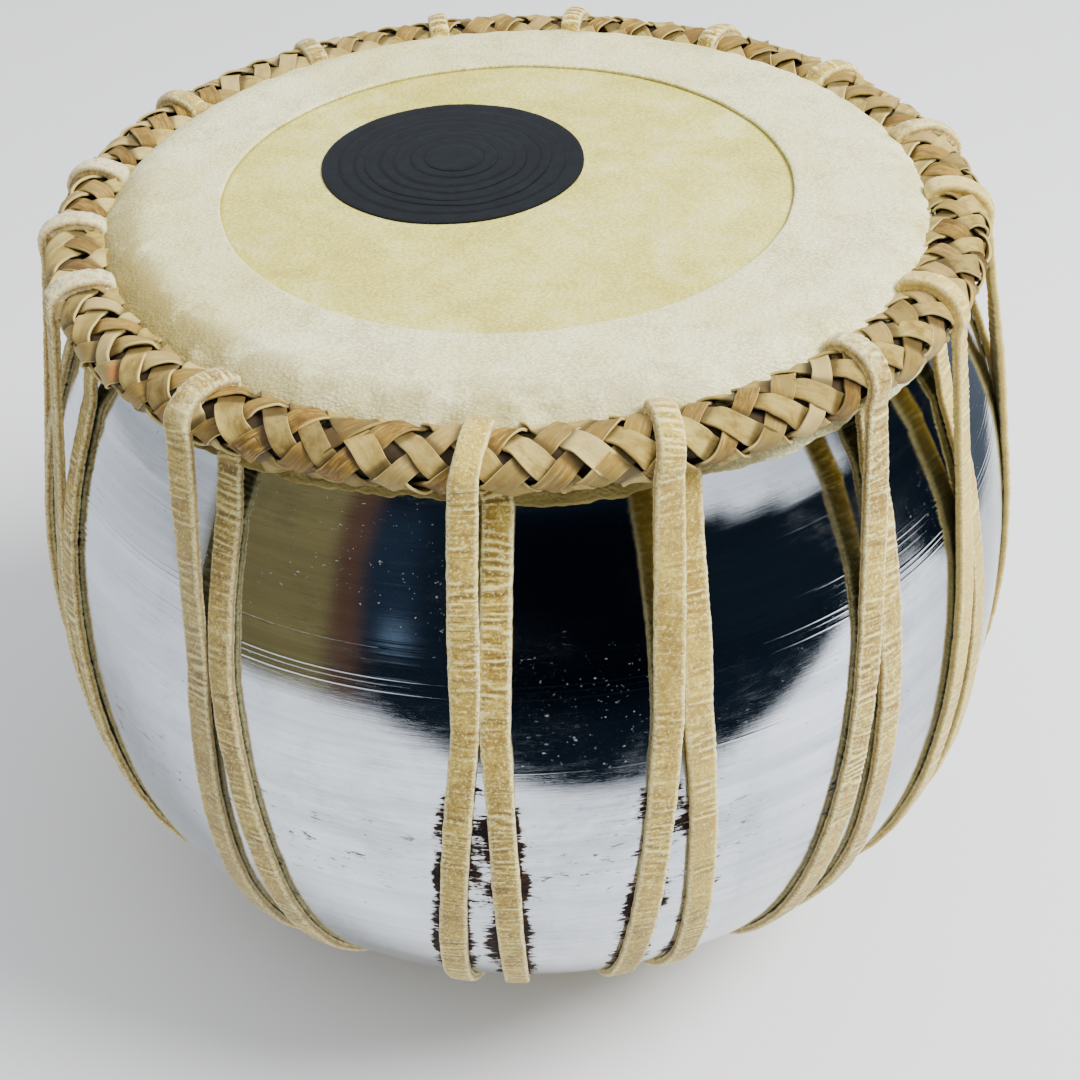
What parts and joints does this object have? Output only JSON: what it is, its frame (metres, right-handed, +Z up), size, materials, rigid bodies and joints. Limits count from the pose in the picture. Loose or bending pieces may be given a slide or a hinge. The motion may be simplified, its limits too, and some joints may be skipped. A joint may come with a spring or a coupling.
{
  "type": "tabla bass drum",
  "caption": "Bass drum of a tabla pair: a polished metal bowl with a layered hide head, an off-centre tuning patch, a plaited leather hoop and suede lacing straps round a base ring.",
  "frame": {"origin": "centre of the flat foot under the bowl", "axes": "+Z up along the drum's own axis, out of the middle of the head; -Y towards the player's side"},
  "size_m": [0.3161, 0.3157, 0.253],
  "materials": {
    "chromed_metal": "polished, with fine turning lines and pitting",
    "lining_hide": "raw dried hide",
    "playing_hide": "scraped goat hide, matt",
    "edge_hide": "scraped goat hide, chalky, a little soiled",
    "iron_paste": "matt black paste in rubbed layers",
    "plait_leather": "flat rawhide strips with cut edges",
    "core_leather": "rough twisted hide",
    "ring_wire": "dull drawn wire",
    "suede_strap": "buff suede, creased across"
  },
  "bodies": {
    "drum": {"bowl_shell": "chromed_metal", "lining_skin": "lining_hide", "edge_skin": "edge_hide", "plaited_hoop": "plait_leather", "hoop_core": "core_leather", "base_ring": "ring_wire", "lacing_strap_01": "suede_strap", "lacing_strap_02": "suede_strap", "lacing_strap_03": "suede_strap", "lacing_strap_04": "suede_strap", "lacing_strap_05": "suede_strap", "lacing_strap_06": "suede_strap", "lacing_strap_07": "suede_strap", "lacing_strap_08": "suede_strap", "lacing_strap_09": "suede_strap", "lacing_strap_10": "suede_strap", "lacing_strap_11": "suede_strap", "lacing_strap_12": "suede_strap", "lacing_strap_13": "suede_strap", "lacing_strap_14": "suede_strap", "lacing_strap_15": "suede_strap", "lacing_strap_16": "suede_strap"},
    "head": {"playing_skin": "playing_hide", "tuning_patch": "iron_paste"}
  },
  "joints": [
    {"name": "head_press", "type": "slide", "parent": "drum", "child": "head", "axis": [0, 0, 1], "range_m": [-0.004, 0], "stiffness_N_per_m": 10000, "deforming": ["playing_skin"]}
  ]
}
